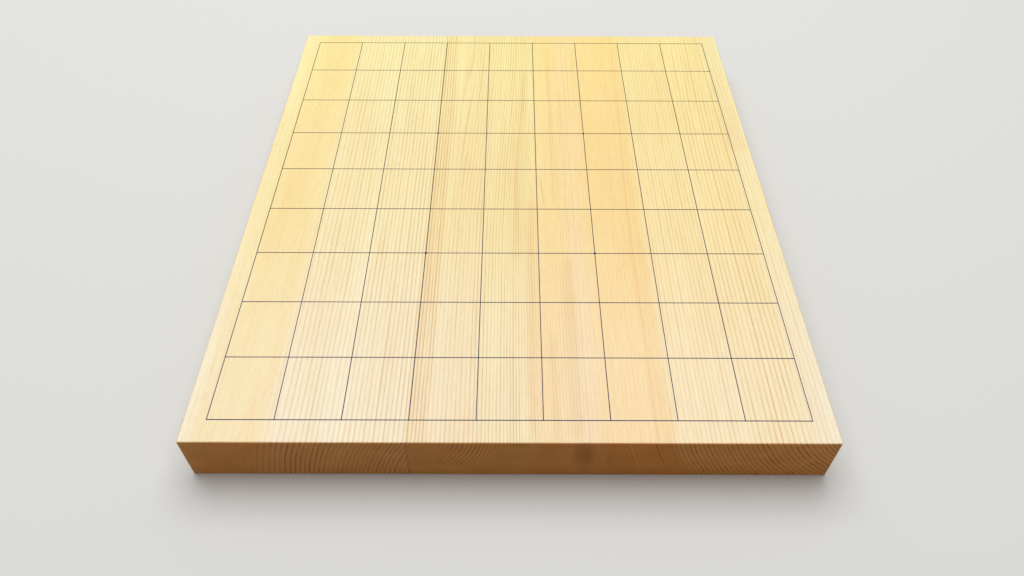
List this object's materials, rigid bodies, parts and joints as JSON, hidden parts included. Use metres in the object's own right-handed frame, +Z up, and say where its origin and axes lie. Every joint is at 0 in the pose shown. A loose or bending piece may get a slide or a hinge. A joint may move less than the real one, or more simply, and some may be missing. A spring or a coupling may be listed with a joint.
{
  "type": "shogi board",
  "caption": "Tabletop shogi board: a slab of edge-glued spruce staves with a raised lacquer grid and star points on its playing face.",
  "frame": {"origin": "the middle of the underside, on the table", "axes": "+X to the near player's right, +Y away from the near player along the grain, +Z up through the playing face"},
  "size_m": [0.333, 0.364, 0.0332],
  "materials": {
    "spruce": "satin",
    "dried_glue": "matte",
    "lacquer": "satin"
  },
  "bodies": {
    "root": {"stave_left": "spruce", "stave_middle": "spruce", "stave_right": "spruce", "glue_line_left": "dried_glue", "glue_line_right": "dried_glue", "rank_line_1": "lacquer", "rank_line_2": "lacquer", "rank_line_3": "lacquer", "rank_line_4": "lacquer", "rank_line_5": "lacquer", "rank_line_6": "lacquer", "rank_line_7": "lacquer", "rank_line_8": "lacquer", "rank_line_9": "lacquer", "rank_line_10": "lacquer", "file_line_1": "lacquer", "file_line_2": "lacquer", "file_line_3": "lacquer", "file_line_4": "lacquer", "file_line_5": "lacquer", "file_line_6": "lacquer", "file_line_7": "lacquer", "file_line_8": "lacquer", "file_line_9": "lacquer", "file_line_10": "lacquer", "star_point_1": "lacquer", "star_point_2": "lacquer", "star_point_3": "lacquer", "star_point_4": "lacquer"}
  },
  "joints": []
}
